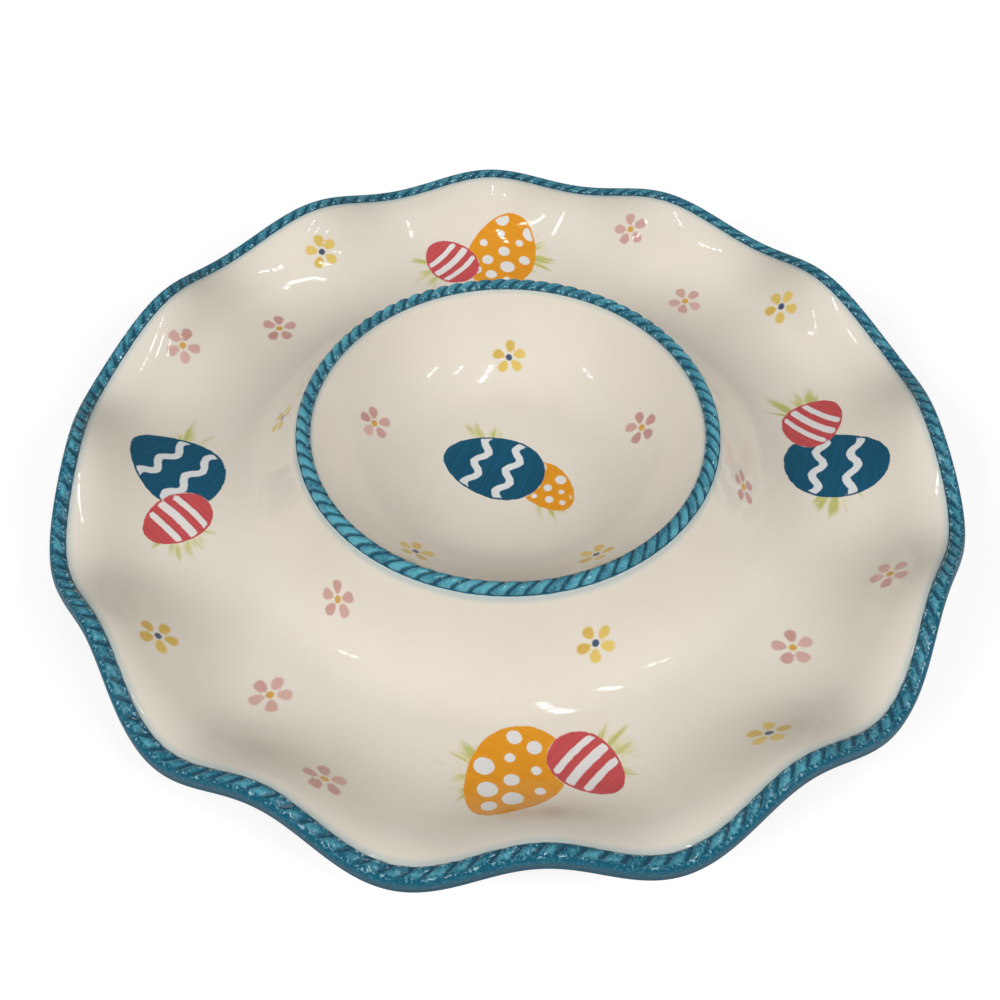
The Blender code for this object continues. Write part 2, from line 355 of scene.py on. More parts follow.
crest_joint = (CREST_RADIUS, CREST_HEIGHT, 0.0)
joint_foot = (CREST_RADIUS, CREST_HEIGHT - JOINT_DEPTH, 0.0)
collar_top = (CREST_RADIUS + BOWL_ROPE_WIDTH / 2, CREST_HEIGHT)
trough = (TROUGH_RADIUS, TROUGH_HEIGHT)
lip = (RIM_RADIUS - RIM_ROPE_WIDTH / 2, RIM_HEIGHT)
collar = bend(collar_top, COLLAR_TOP_HANDLE, COLLAR_FOOT_HANDLE, trough, FINE_STEP)
collar[:, 2] = 0.0
side = bend(trough, SIDE_FOOT_HANDLE, SIDE_LIP_HANDLE, lip, FINE_STEP)
side[:, 2] = side[:, 2] ** FLUTE_GROWTH
upper = np.vstack([collar, side[1:]])

rim_outside = RIM_RADIUS + RIM_ROPE_WIDTH / 2
seat_end = (rim_outside, RIM_HEIGHT - SEAT_DROP, 1.0)
edge_top = (rim_outside, RIM_HEIGHT - SEAT_DROP - SEAT_CREASE, 1.0)
edge_foot = (rim_outside, RIM_HEIGHT - SEAT_DROP - RIM_EDGE, 1.0)
under = below(upper, WALL)
within = (under[:, 0] > CREST_RADIUS) & (under[:, 0] < rim_outside - WALL)
under = thinned(under[within & (under[:, 1] < joint_foot[1])][::-1], COARSE_STEP)
edge = np.vstack([edge_top, rounded(edge_top, edge_foot, under[0], RIM_EDGE_ROUNDING, RIM_EDGE_STEPS)])
dish_outline = np.vstack([crest_joint, upper, seat_end, edge, under, joint_foot, crest_joint])

cream_glaze = painted_glaze()
clay_tree = turned_clay()
dish = grown(
    "glazed_dish",
    clay_tree,
    outline_mesh(dish_outline),
    {
        "Steps round": RUFFLES * STEPS_PER_RUFFLE,
        "Ruffles": float(RUFFLES),
        "Lift": RUFFLE_LIFT,
        "Reach": RUFFLE_REACH,
        "Finish": cream_glaze,
    },
)

# Painting the dish: pairs of dotted, waved and banded eggs on leaf sprigs in the four quarters of the
# trough, and five-petalled blossoms between them on the flutes and on the slope below the bowl's crest.
# All lengths of the painting are in mm.

# How far outside a colour bare slip counts as, the tone of plain paint, how far tones and strokes lap past
# an edge, where tapers end, and how far apart the patterns of brush marks are drawn
UNPAINTED = 9.0
MIDDLE_TONE = 0.5
TONE_LAP = 0.6
STROKE_LAP = 3.0
TAPER_REACH = 1.5
PATTERN_SPREAD = 90.0
PAINT_SEED = 20
hand = np.random.default_rng(PAINT_SEED)


def blank_paint(count):
    """No paint yet: each colour's field is how many mm a point lies outside that colour."""
    paint = {row[0]: np.full(count, UNPAINTED) for row in PAINTS}
    paint["tone"] = np.full(count, MIDDLE_TONE)
    paint["stroke"] = np.zeros((count, 3))
    paint["blade"] = np.zeros((count, 3))
    return paint


def cover(paint, name, field, tone=MIDDLE_TONE):
    """Paints a spot of one colour over whatever is there. White marks go on top of the colour below."""
    if name != "white":
        for other in (row[0] for row in PAINTS):
            paint[other] = np.maximum(paint[other], -field)
    paint[name] = np.minimum(paint[name], field)
    paint["tone"] = np.where(field < TONE_LAP, tone, paint["tone"])


def turned_by(x, y, angle):
    """Coordinates along and across a direction."""
    return x * np.cos(angle) + y * np.sin(angle), y * np.cos(angle) - x * np.sin(angle)


def oval(x, y, half_length, half_width, taper=0.0):
    """Field of an oval that lies along x. taper narrows its far end, as on an egg."""
    width = half_width * (1 - taper * np.clip(x / half_length, -TAPER_REACH, TAPER_REACH))
    return (np.hypot(x / half_length, y / width) - 1) * half_width


def brush_line(x, y, points, half_width):
    """Field of one brush stroke through points."""
    gap = np.full(np.shape(x), np.inf)
    for first, second in zip(points, points[1:]):
        run = np.subtract(second, first)
        share = np.clip(((x - first[0]) * run[0] + (y - first[1]) * run[1]) / (run @ run), 0, 1)
        gap = np.minimum(gap, np.hypot(x - first[0] - share * run[0], y - first[1] - share * run[1]))
    return gap - half_width


# Leaf sprigs: how much shorter the outer blades of a fan are, and how close and long the flicks lie in it
OUTER_BLADE_CUT = 0.4
BLADES_PER_RADIAN = 4.5
FLICK_LENGTH = 22.0


def paint_leaves(paint, x, y, root, spread, reach):
    """A tuft of blades that fan out from a root, as flicks of a half-dry brush. spread is the first and
    last direction. Its blade coordinates run round and out from the root."""
    way = np.arctan2(y - root[1], x - root[0])
    out = np.hypot(x - root[0], y - root[1])
    half = (spread[1] - spread[0]) / 2
    turn = (way - spread[0] - half + pi) % tau - pi
    tip = reach * (1 - OUTER_BLADE_CUT * (turn / half) ** 2)
    fan = np.maximum(out - tip, (np.abs(turn) - half) * out)
    cover(paint, "leaf", fan)
    near = fan < 2 * BLADE_RAGGEDNESS
    pattern = np.full(len(x), hand.uniform(0, PATTERN_SPREAD))
    paint["blade"][near] = np.column_stack([turn * BLADES_PER_RADIAN, out / FLICK_LENGTH, pattern])[near]


# Eggs, along their half length and across their half width: rows and columns of dots, with the dots' radii
# as shares of the width, and the places of waves and bands, with the half widths of bands in mm
EGG_TAPER = 0.16
EGG_TONE = 0.45
MARK_INSET = 0.9
MARK_SPAN = 1.1
DOT_ROWS = (-0.66, -0.30, 0.06, 0.42, 0.74)
DOT_COLUMNS = ((-0.6, 0.0, 0.6), (-0.32, 0.32))
DOT_RADII = (0.060, 0.085, 0.110)
DOT_SPREAD = 1.15
DOT_NARROWING = 0.5
DOT_GAP = 1.6
DOT_TONE = 0.3
WAVES = (-0.34, 0.30)
WAVE_HEIGHT = 0.10
WAVE_RADIANS = 8.5
WAVE_STEPS = 19
WAVE_HALF_WIDTH = 0.070
BANDS = ((-0.48, 1.4), (-0.06, 1.9), (0.38, 1.5))
BAND_BOW = 0.10
BAND_STEPS = 9
BAND_TONE = 0.6


def paint_egg(paint, x, y, middle, size, angle, colour, marks):
    """An egg of (length, width) about a middle that points along angle, with white marks."""
    along, across = turned_by(x - middle[0], y - middle[1], angle)
    half_length = size[0] / 2
    half_width = size[1] / 2
    body = oval(along, across, half_length, half_width, EGG_TAPER)
    cover(paint, colour, body, EGG_TONE)
    near = body < STROKE_LAP
    pattern = np.full(len(x), hand.uniform(0, PATTERN_SPREAD))
    paint["stroke"][near] = np.column_stack([across, along, pattern])[near]
    inside = body + MARK_INSET
    if marks == "dots":
        placed = []
        for row, share in enumerate(DOT_ROWS):
            for column in DOT_COLUMNS[row % 2]:
                narrowed = column * half_width * (DOT_SPREAD - DOT_NARROWING * abs(share))
                spot = np.array([share * half_length, narrowed])
                radius = hand.choice(DOT_RADII) * size[1]
                if any(np.linalg.norm(spot - other) < radius + reach + DOT_GAP for other, reach in placed):
                    continue
                placed.append((spot, radius))
                dot = oval(along - spot[0], across - spot[1], radius, radius)
                cover(paint, "white", np.maximum(dot, inside), DOT_TONE)
    if marks == "waves":
        for shift in WAVES:
            steps = np.linspace(-MARK_SPAN, MARK_SPAN, WAVE_STEPS)
            rises = half_length * (shift + WAVE_HEIGHT * np.cos(steps * WAVE_RADIANS))
            points = np.column_stack([rises, half_width * steps])
            wave = brush_line(along, across, points, WAVE_HALF_WIDTH * half_length)
            cover(paint, "white", np.maximum(wave, inside))
    if marks == "bands":
        for shift, half_band in BANDS:
            steps = np.linspace(-MARK_SPAN, MARK_SPAN, BAND_STEPS)
            points = np.column_stack([half_length * (shift + BAND_BOW * steps**2), half_width * steps])
            band = brush_line(along, across, points, half_band)
            cover(paint, "white", np.maximum(band, inside), BAND_TONE)


# Blossoms: their kinds of petals and heart, and the petals' places and sizes as shares of a blossom's size
BLOSSOMS = (("yellow", "navy"), ("rose", "ochre"))
PETALS = 5
PETAL_JITTER = 0.06
PETAL_PLACE = 0.62
PETAL_HALF_LENGTH = 0.36
PETAL_HALF_WIDTH = 0.27
PETAL_TAPER = -0.35
HEART_RADIUS = 0.20
TOUCH_TONES = (0.05, 0.95)


def paint_blossom(paint, x, y, petals, heart, size):
    """Teardrop petals, each one touch of the brush, round a dot."""
    start = hand.uniform(0, tau)
    for petal in range(PETALS):
        along, across = turned_by(x, y, start + petal * tau / PETALS + hand.normal(0, PETAL_JITTER))
        along = along - PETAL_PLACE * size
        touch = oval(along, across, PETAL_HALF_LENGTH * size, PETAL_HALF_WIDTH * size, PETAL_TAPER)
        cover(paint, petals, touch, hand.uniform(*TOUCH_TONES))
    cover(paint, heart, oval(x, y, HEART_RADIUS * size, HEART_RADIUS * size))


def lay_paint(piece, paint):
    """Keeps the painted fields on a piece's points, where its glaze reads them."""
    for name, values in paint.items():
        if name in ("stroke", "blade"):
            attribute = piece.data.attributes.new(name, "FLOAT_VECTOR", "POINT")
            attribute.data.foreach_set("vector", values.ravel())
        else:
            attribute = piece.data.attributes.new(name, "FLOAT", "POINT")
            attribute.data.foreach_set("value", np.clip(values, -UNPAINTED, UNPAINTED))


def surface_points(piece):
    """The points of a turned piece: their places and way along its outline, in mm, and angle round it."""
    count = len(piece.data.vertices)
    places = np.empty(count * 3)
    piece.data.vertices.foreach_get("co", places)
    places = places.reshape(-1, 3) / MM
    along = np.empty(count)
    piece.data.attributes["along"].data.foreach_get("value", along)
    return places, along / MM, np.arctan2(places[:, 1], places[:, 0])


def chart(places, along, around, middle_angle, middle_along):
    """Flat coordinates about a spot on a turned piece: x runs round the axis and y along the outline."""
    turn = (around - middle_angle + pi) % tau - pi
    return turn * np.hypot(places[:, 0], places[:, 1]), along - middle_along


def way_along(outline, row):
    """How far along an outline one of its rows lies, in mm."""
    return np.hypot(*np.diff(outline[: row + 1, :2], axis=0).T).sum() / MM


# Layout: the turn of the front towards the camera, the pairs' turn and way out from the trough, and the
# blossoms between two pairs with their turn in degrees, way out and kind
VIEW_TURN = radians(11.03)
FRONT = VIEW_TURN - pi / 2
QUARTERS = 4
PAIR_TURN = radians(6)
PAIR_OUT = 22
EGG_SWAY = 0.08
BETWEEN_PAIRS = ((30, 42, 0), (46, 19, 1), (62, 44, 1))
BLOSSOM_SIZE = 8.4
SLOPE_BLOSSOMS = 6
SLOPE_TURN = radians(20)
SLOPE_OUT = -27
SMALL_BLOSSOM_SIZE = 8.0

# Teal edge: its start past the lip, its lap under the rim, its width on the rope's bed at the crest, and how
# far teal glaze creeps to both sides of the lip and of that bed's end, widened and darkened there as painted
# shade along the ropes
EDGE_START = 0.1
UNDER_LAP = 2.5
ROPE_BED = 3.0
LIP_BLEED_AND_SHADE = 1.5
COLLAR_BLEED_AND_SHADE = 2.4

places, along, around = surface_points(dish)
trough_along = way_along(dish_outline, len(collar))
lip_along = way_along(dish_outline, len(upper))
under_along = way_along(dish_outline, len(upper) + len(edge) + 2)
paint = blank_paint(len(places))
for quarter in range(QUARTERS):
    middle = FRONT + PAIR_TURN + quarter * tau / QUARTERS
    x, y = chart(places, along, around, middle, trough_along + PAIR_OUT)
    paint_leaves(paint, x, y, root=(-18, -2), spread=(radians(110), radians(235)), reach=15)
    paint_leaves(paint, x, y, root=(18, -4), spread=(radians(-80), radians(60)), reach=14)
    big_angle = radians(118) + hand.normal(0, EGG_SWAY)
    colour, marks = ("orange", "dots") if quarter % 2 == 0 else ("teal", "waves")
    paint_egg(paint, x, y, middle=(-11, 0), size=(47, 34), angle=big_angle, colour=colour, marks=marks)
    small_angle = radians(48) + hand.normal(0, EGG_SWAY)
    paint_egg(paint, x, y, middle=(16, -3), size=(32, 23), angle=small_angle, colour="coral", marks="bands")
    for turn, out, kind in BETWEEN_PAIRS:
        x, y = chart(places, along, around, middle + radians(turn), trough_along + out)
        paint_blossom(paint, x, y, *BLOSSOMS[kind], BLOSSOM_SIZE)
for step in range(SLOPE_BLOSSOMS):
    turn = FRONT + SLOPE_TURN + step * tau / SLOPE_BLOSSOMS
    x, y = chart(places, along, around, turn, trough_along + SLOPE_OUT)
    paint_blossom(paint, x, y, *BLOSSOMS[step % 2], SMALL_BLOSSOM_SIZE)
edge_paint = np.maximum(lip_along + EDGE_START - along, along - under_along - UNDER_LAP)
cover(paint, "edge", np.minimum(edge_paint, along - ROPE_BED))
# Beside the lip and the rope's bed, teal glaze creeps into the clear glaze, darkened as painted shade along
# the ropes
beside = np.minimum(np.abs(along - lip_along) - LIP_BLEED_AND_SHADE, np.abs(along - ROPE_BED) - COLLAR_BLEED_AND_SHADE)
paint["bleed_and_shade"] = np.minimum(paint["bleed_and_shade"], beside)
lay_paint(dish, paint)

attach(dish, "root")
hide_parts("ruffled_dish")

# Dip bowl: the round bowl that stands in the middle of the dish, jiggered from the same clay and joined to
# the dish at its crest. It has the same slip and glaze, a pair of eggs on its floor and a ring of blossoms.
FLOOR_RADIUS = 0.040
FLOOR_HEIGHT = 0.014
BOWL_FOOT_HANDLE = (0.50, 0.0)
BOWL_TOP_HANDLE = (0.24, 0.50)
BOWL_STEPS = 384
BOWL_BLOSSOMS = 5
BOWL_BLOSSOM_TURN = radians(36)
BOWL_BLOSSOM_OUT = 64
BOWL_BLEED_AND_SHADE = 1.2
OUT_OF_REACH = 1000

floor_rows = thinned(np.array([(0.0, FLOOR_HEIGHT, 0.0), (FLOOR_RADIUS, FLOOR_HEIGHT, 0.0)]), FINE_STEP)
crest_inside = (CREST_RADIUS - BOWL_ROPE_WIDTH / 2, CREST_HEIGHT)
wall = bend((FLOOR_RADIUS, FLOOR_HEIGHT), BOWL_FOOT_HANDLE, BOWL_TOP_HANDLE, crest_inside, FINE_STEP)
wall[:, 2] = 0.0
bowl_inside = np.vstack([floor_rows, wall[1:]])
bowl_under = below(bowl_inside, WALL)
within = (bowl_under[:, 0] < CREST_RADIUS) & (bowl_under[:, 1] < joint_foot[1])
bowl_under = thinned(bowl_under[within][::-1], COARSE_STEP)
bowl_outline = np.vstack([bowl_inside, crest_joint, joint_foot, bowl_under])
bowl = grown(
    "glazed_bowl", clay_tree, outline_mesh(bowl_outline), {"Steps round": BOWL_STEPS, "Finish": cream_glaze}
)

places, along, around = surface_points(bowl)
paint = blank_paint(len(places))
on_top = along < way_along(bowl_outline, len(bowl_inside))
x, y = turned_by(places[:, 0] + np.where(on_top, 0, OUT_OF_REACH), places[:, 1], VIEW_TURN)
paint_leaves(paint, x, y, root=(-8, 8), spread=(radians(60), radians(170)), reach=15)
paint_leaves(paint, x, y, root=(14, -10), spread=(radians(-110), radians(0)), reach=14)
paint_egg(paint, x, y, middle=(17, -9), size=(30, 22), angle=radians(-52), colour="orange", marks="dots")
paint_egg(paint, x, y, middle=(-6, 2), size=(46, 34), angle=radians(160), colour="teal", marks="waves")
for step in range(BOWL_BLOSSOMS):
    turn = FRONT + BOWL_BLOSSOM_TURN + step * tau / BOWL_BLOSSOMS
    x, y = chart(places, along, around, turn, BOWL_BLOSSOM_OUT)
    paint_blossom(paint, x, y, *BLOSSOMS[step % 2], SMALL_BLOSSOM_SIZE)
# Beside the bowl rope, teal glaze creeps into the clear glaze, darkened as painted shade along the rope
rope_side = way_along(bowl_outline, len(bowl_inside) - 1)
paint["bleed_and_shade"] = np.minimum(paint["bleed_and_shade"], np.abs(along - rope_side) - BOWL_BLEED_AND_SHADE)
lay_paint(bowl, paint)

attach(bowl, "root")
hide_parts("dip_bowl")

# Rim rope: the raised twist on the ruffled rim, a half-round bead of clay whose slanting strands are
# pressed into its top and inner side. It follows the ruffle and is brushed with teal glaze down to the
# plain edge.
RIM_STRANDS = 162
STRAND_STEPS = 14
BEAD_STEPS = 20
RIM_ROPE_RISE = 0.0018
RIM_GROOVE = 0.0013
STRAND_LEAN = 0.9
ROPE_SETBACK = 0.0003

# Teal glaze where it lies thick, where it runs thin and is painted lighter on one side of each strand as
# painted light, where it pools in the grooves, and where painted glints catch, the sizes of its blotches,
# speckles and ripples, and how much the strands differ and the foot of the bead is duller
ROPE_THICK = "#075c75"
ROPE_THIN_AND_LIT = "#5fb0c2"
ROPE_POOLED = "#0c455c"
ROPE_GLINT = "#a9d6de"
BLOTCH_SIZE = 4.5 * MM
SPECKLE_SIZE = 1.0 * MM
RIPPLE_SIZE = 3.0 * MM
STRAND_CHANGE = 0.45
FOOT_DULLING = 0.45
ROPE_ROUGHNESS = 0.05


def teal_rope_glaze():
    """Translucent teal gloss glaze: it runs thin and pale off the top of each strand, with painted light
    making one side of each strand paler than the other, pools dark in the grooves between them, and
    carries pale specks of painted glint where the bead turns down."""
    material, tree, place = new_material("teal_gloss_glaze")
    names = ("groove", "tone", "strand", "painted_glint", "foot")
    marks = {name: add(tree, "ShaderNodeAttribute", attribute_name=name).outputs["Fac"] for name in names}

    blotches = add(tree, NOISE, {"Vector": place, "Scale": 1 / BLOTCH_SIZE, "Detail": 3.0})
    mixed = add(tree, MATH, (marks["tone"], STRAND_CHANGE, blotches), operation="MULTIPLY_ADD")
    load = add(tree, RANGE, {"Value": mixed, "From Min": 0.25, "From Max": 1.0})
    # Strands are paler where the glaze runs thin, and on the side that is painted lighter as painted light
    thin = add(tree, MATH, (marks["strand"], load), operation="MULTIPLY")
    speckle = add(tree, NOISE, {"Vector": place, "Scale": 1 / SPECKLE_SIZE, "Detail": 2.0})
    mottling = {"Value": speckle, "From Min": 0.25, "From Max": 0.75, "To Min": -0.35, "To Max": 0.35}
    mottle = add(tree, RANGE, mottling)
    layer = add(tree, MATH, (thin, mottle), operation="ADD", use_clamp=True)
    body_colours = {"Factor": layer, "A": linear(ROPE_THICK), "B": linear(ROPE_THIN_AND_LIT)}
    body = add(tree, MIX, body_colours, data_type="RGBA")
    pooling = {"Value": marks["groove"], "From Min": 0.15, "From Max": 0.75, "To Max": 0.85}
    pool = add(tree, RANGE, pooling, interpolation_type="SMOOTHSTEP")
    pooled = add(tree, MIX, {"Factor": pool, "A": body, "B": linear(ROPE_POOLED)}, data_type="RGBA")
    # Painted glints: pale specks on the brows of the bead, where highlights would catch
    glint_specks = add(tree, RANGE, {"Value": speckle, "From Min": 0.52, "From Max": 0.62, "To Max": 0.85})
    bare = add(tree, MATH, (marks["painted_glint"], glint_specks), operation="MULTIPLY")
    colour = add(tree, MIX, {"Factor": bare, "A": pooled, "B": linear(ROPE_GLINT)}, data_type="RGBA")

    ripple = add(tree, NOISE, {"Vector": place, "Scale": 1 / RIPPLE_SIZE, "Detail": 1.0})
    bump = add(tree, "ShaderNodeBump", {"Height": ripple, "Strength": 0.4, "Distance": 0.15 * MM})
    dulled = add(tree, MATH, (marks["foot"], FOOT_DULLING, ROPE_ROUGHNESS), operation="MULTIPLY_ADD")
    looks = {"Base Color": colour, "Roughness": dulled, "Normal": bump}
    shader = add(tree, "ShaderNodeBsdfPrincipled", {**looks, "IOR": 1.54, "Specular IOR Level": 0.6})
    add(tree, "ShaderNodeOutputMaterial", {"Surface": shader})
    return material


# Strands, across the bead from -1 at its inner side to 1 at its outer one: how narrow the grooves are, over
# what width they run out to the plain side, how far the inner brow lies inside the end of the grooves, and
# where the dull foot begins and ends past the plain side
GROOVE_NARROWING = 2.6
RUN_OUT = 0.45
INNER_BROW = 0.14
FOOT_START = 0.35
FOOT_END = 0.62
STRAND_SEED = 5


def rope_bead():
    """A tree that lays a half-round bead round the axis and presses slanting grooves into it. Its flat
    base closes it below. The grooves fade on both sides, and the glaze pools in them to the inner edge.
    The strands' pale thin glaze fades towards the inner side and is painted lighter on one side of each
    strand as painted light, and pale specks of painted glint sit on the brows where the bead turns down."""
    counts = ["Strands", "Steps per strand", "Steps over"]
    bead = ["Radius", "Width", "Rise", "Seat", "Drop", "Fullness", "Shoulder"]
    twist = ["Groove", "Lean", "Plain side", "Plain inside", "Thin and lit", "Pooling", "Painted glints"]
    sizes = [*bead, *twist, "Ruffles", "Lift", "Reach"]
    tree, given = new_tree("rope_bead", {"Int": counts, "Float": sizes, "Material": ["Finish"]})

    # One row more than steps over the bead, and the first row again, which closes the base
    rows = add(tree, MATH, (given["Steps over"], 2.0), operation="ADD")
    columns = add(tree, MATH, (given["Strands"], given["Steps per strand"], 1.0), operation="MULTIPLY_ADD")
    grid = add(tree, "GeometryNodeMeshGrid", {"Vertices X": rows, "Vertices Y": columns})
    share = add(tree, "ShaderNodeSeparateXYZ", {"Vector": grid.outputs["UV Map"]}).outputs
    loop = add(tree, MATH, (given["Steps over"], 1.0), operation="ADD")
    row = add(tree, MATH, (share["X"], loop), operation="MULTIPLY")
    whole_row = add(tree, MATH, (row,), operation="ROUND")
    ring_row = add(tree, MATH, (whole_row, loop), operation="MODULO")
    half_turn = {"Value": ring_row, "From Max": given["Steps over"], "To Min": pi, "To Max": 0.0}
    over = add(tree, RANGE, half_turn)
    run = add(tree, MATH, (over,), operation="COSINE")
    run_size = add(tree, MATH, (run,), operation="ABSOLUTE")
    run_side = add(tree, MATH, (run,), operation="SIGN")
    full_run = add(tree, MATH, (run_size, given["Fullness"]), operation="POWER")
    outward = add(tree, MATH, (full_run, run_side), operation="MULTIPLY")
    climb = add(tree, MATH, (over,), operation="SINE")
    climb_size = add(tree, MATH, (climb, 0.0), operation="MAXIMUM")
    upward = add(tree, MATH, (climb_size, given["Fullness"]), operation="POWER")
    angle = add(tree, MATH, (share["Y"], tau), operation="MULTIPLY")

    lean = add(tree, MATH, (given["Lean"], 0.5), operation="MULTIPLY")
    slant = add(tree, MATH, (outward, lean), operation="MULTIPLY")
    phase = add(tree, MATH, (share["Y"], given["Strands"], slant), operation="MULTIPLY_ADD")
    part = add(tree, MATH, (phase,), operation="FRACT")
    ridge = add(tree, RANGE, {"Value": part, "To Min": -1.0, "To Max": 1.0})
    gap = add(tree, MATH, (ridge,), operation="ABSOLUTE")
    notch = add(tree, MATH, (gap, GROOVE_NARROWING), operation="POWER")
    end = add(tree, MATH, (given["Plain side"], RUN_OUT), operation="SUBTRACT")
    outer_span = {"Value": outward, "From Min": given["Plain side"], "From Max": end}
    outer_fade = add(tree, RANGE, outer_span, interpolation_type="SMOOTHSTEP")
    inner_span = {"Value": outward, "From Min": -1.0, "From Max": given["Plain inside"]}
    inner_fade = add(tree, RANGE, inner_span, interpolation_type="SMOOTHSTEP")
    fade = add(tree, MATH, (outer_fade, inner_fade), operation="MULTIPLY")
    groove = add(tree, MATH, (notch, fade), operation="MULTIPLY")
    depth = add(tree, MATH, (groove, given["Groove"]), operation="MULTIPLY")
    strand = add(tree, MATH, (phase,), operation="FLOOR")
    number = add(tree, MATH, (strand, given["Strands"]), operation="FLOORED_MODULO")
    tone = add(tree, "FunctionNodeRandomValue", {"ID": number, "Seed": STRAND_SEED}, data_type="FLOAT")

    half = add(tree, MATH, (given["Width"], 0.5), operation="MULTIPLY")
    half_here = add(tree, MATH, (half, depth), operation="SUBTRACT")
    bare_rise = add(tree, MATH, (given["Rise"], depth), operation="SUBTRACT")
    turns = add(tree, MATH, (angle, given["Ruffles"]), operation="MULTIPLY")
    dip = add(tree, MATH, (turns,), operation="COSINE")
    rim = add(tree, MATH, (dip, given["Reach"], given["Radius"]), operation="MULTIPLY_ADD")
    radius = add(tree, MATH, (outward, half_here, rim), operation="MULTIPLY_ADD")
    fall = add(tree, MATH, (dip, given["Lift"]), operation="MULTIPLY")
    seat = add(tree, MATH, (given["Seat"], fall), operation="SUBTRACT")
    whole_width = {"From Min": -1.0, "From Max": 1.0}
    across = add(tree, RANGE, {"Value": outward, **whole_width, "To Max": given["Drop"]})
    base = add(tree, MATH, (seat, across), operation="SUBTRACT")
    rise_here = add(tree, MATH, (across, given["Shoulder"], bare_rise), operation="MULTIPLY_ADD")
    height = add(tree, MATH, (upward, rise_here, base), operation="MULTIPLY_ADD")
    section = add(tree, "ShaderNodeCombineXYZ", {"X": radius, "Z": height})
    place = add(tree, "ShaderNodeVectorRotate", {"Vector": section, "Angle": angle}, rotation_type="Z_AXIS")
    shape = add(tree, "GeometryNodeSetPosition", {"Geometry": grid, "Position": place})

    # Painted glints: pale specks on both brows of the bead, in the middle of each strand
    outer_gap = add(tree, MATH, (outward, given["Plain side"]), operation="SUBTRACT")
    inner_brow = add(tree, MATH, (given["Plain inside"], INNER_BROW), operation="SUBTRACT")
    inner_gap = add(tree, MATH, (outward, inner_brow), operation="SUBTRACT")
    outer_size = add(tree, MATH, (outer_gap,), operation="ABSOLUTE")
    inner_size = add(tree, MATH, (inner_gap,), operation="ABSOLUTE")
    brow_size = add(tree, MATH, (outer_size, inner_size), operation="MINIMUM")
    brow_span = {"Value": brow_size, "From Min": 0.24, "From Max": 0.06}
    brow = add(tree, RANGE, brow_span, interpolation_type="SMOOTHSTEP")
    middle_span = {"Value": gap, "From Min": 0.8, "From Max": 0.3}
    middle = add(tree, RANGE, middle_span, interpolation_type="SMOOTHSTEP")
    glint_places = add(tree, MATH, (brow, middle), operation="MULTIPLY")
    glint_flecks = add(tree, MATH, (glint_places, given["Painted glints"]), operation="MULTIPLY")
    run_off = add(tree, MATH, (notch, outer_fade), operation="MULTIPLY")
    pool = add(tree, MATH, (run_off, given["Pooling"]), operation="MULTIPLY")
    # Painted light: one side of each strand is paler than the other, as if lit from that side
    painted_light_side = {"Value": ridge, "From Min": -0.9, "From Max": 0.9, "To Min": 0.7, "To Max": 1.25}
    crest = add(tree, RANGE, painted_light_side)
    thin_and_lit_crest = add(tree, MATH, (crest, given["Thin and lit"]), operation="MULTIPLY")
    dark_inside = {"Value": outward, "From Min": -1.3, "From Max": 0.2}
    inside = add(tree, RANGE, dark_inside, interpolation_type="SMOOTHSTEP")
    sides = add(tree, MATH, (outer_fade, inside), operation="MULTIPLY")
    thin_and_lit_crown = add(tree, MATH, (sides, thin_and_lit_crest), operation="MULTIPLY")
    foot_start = add(tree, MATH, (given["Plain side"], FOOT_START), operation="ADD")
    foot_end = add(tree, MATH, (given["Plain side"], FOOT_END), operation="ADD")
    foot = add(tree, RANGE, {"Value": outward, "From Min": foot_start, "From Max": foot_end})
    marks = {"groove": pool, "strand": thin_and_lit_crown, "painted_glint": glint_flecks, "foot": foot, "tone": tone}
    for name, value in marks.items():
        mark = {"Geometry": shape, "Name": name, "Value": value}
        shape = add(tree, "GeometryNodeStoreNamedAttribute", mark)

    base_row = add(tree, MATH, (given["Steps over"], loop), operation="DIVIDE")
    above = {"A": share["X"], "B": base_row}
    bead_side = add(tree, "FunctionNodeCompare", above, data_type="FLOAT", operation="LESS_THAN")
    end_tree(tree, shape, given["Finish"], smooth=bead_side)
    return tree


teal_glaze = teal_rope_glaze()
rope_tree = rope_bead()
rim_rope = grown(
    "rim_rope_twist",
    rope_tree,
    bpy.data.meshes.new("bead"),
    {
        "Strands": RIM_STRANDS,
        "Steps per strand": STRAND_STEPS,
        "Steps over": BEAD_STEPS,
        "Radius": RIM_RADIUS + ROPE_SETBACK / 2,
        "Width": RIM_ROPE_WIDTH - ROPE_SETBACK,
        "Rise": RIM_ROPE_RISE,
        "Seat": RIM_HEIGHT - SEAT_DROP * ROPE_SETBACK / RIM_ROPE_WIDTH,
        "Drop": SEAT_DROP * (1 - ROPE_SETBACK / RIM_ROPE_WIDTH),
        "Fullness": 0.8,
        "Shoulder": 0.8,
        "Groove": RIM_GROOVE,
        "Lean": STRAND_LEAN,
        "Plain side": 0.42,
        "Plain inside": -0.72,
        # Paleness of the thin glaze and painted light on the strands, pooling, and strength of the painted
        # glints
        "Thin and lit": 1.0,
        "Pooling": 1.15,
        "Painted glints": 1.0,
        "Ruffles": float(RUFFLES),
        "Lift": RUFFLE_LIFT,
        "Reach": RUFFLE_REACH,
        "Finish": teal_glaze,
    },
)
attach(rim_rope, "root")
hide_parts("rim_rope")

# Bowl rope: the same twist round the crest of the bowl, over the joint between bowl and dish. Its strands
# are rounder and run over both sides of the bead.
BOWL_STRANDS = 80
BOWL_GROOVE = 0.0011
BOWL_ROPE_RISE = 0.0028

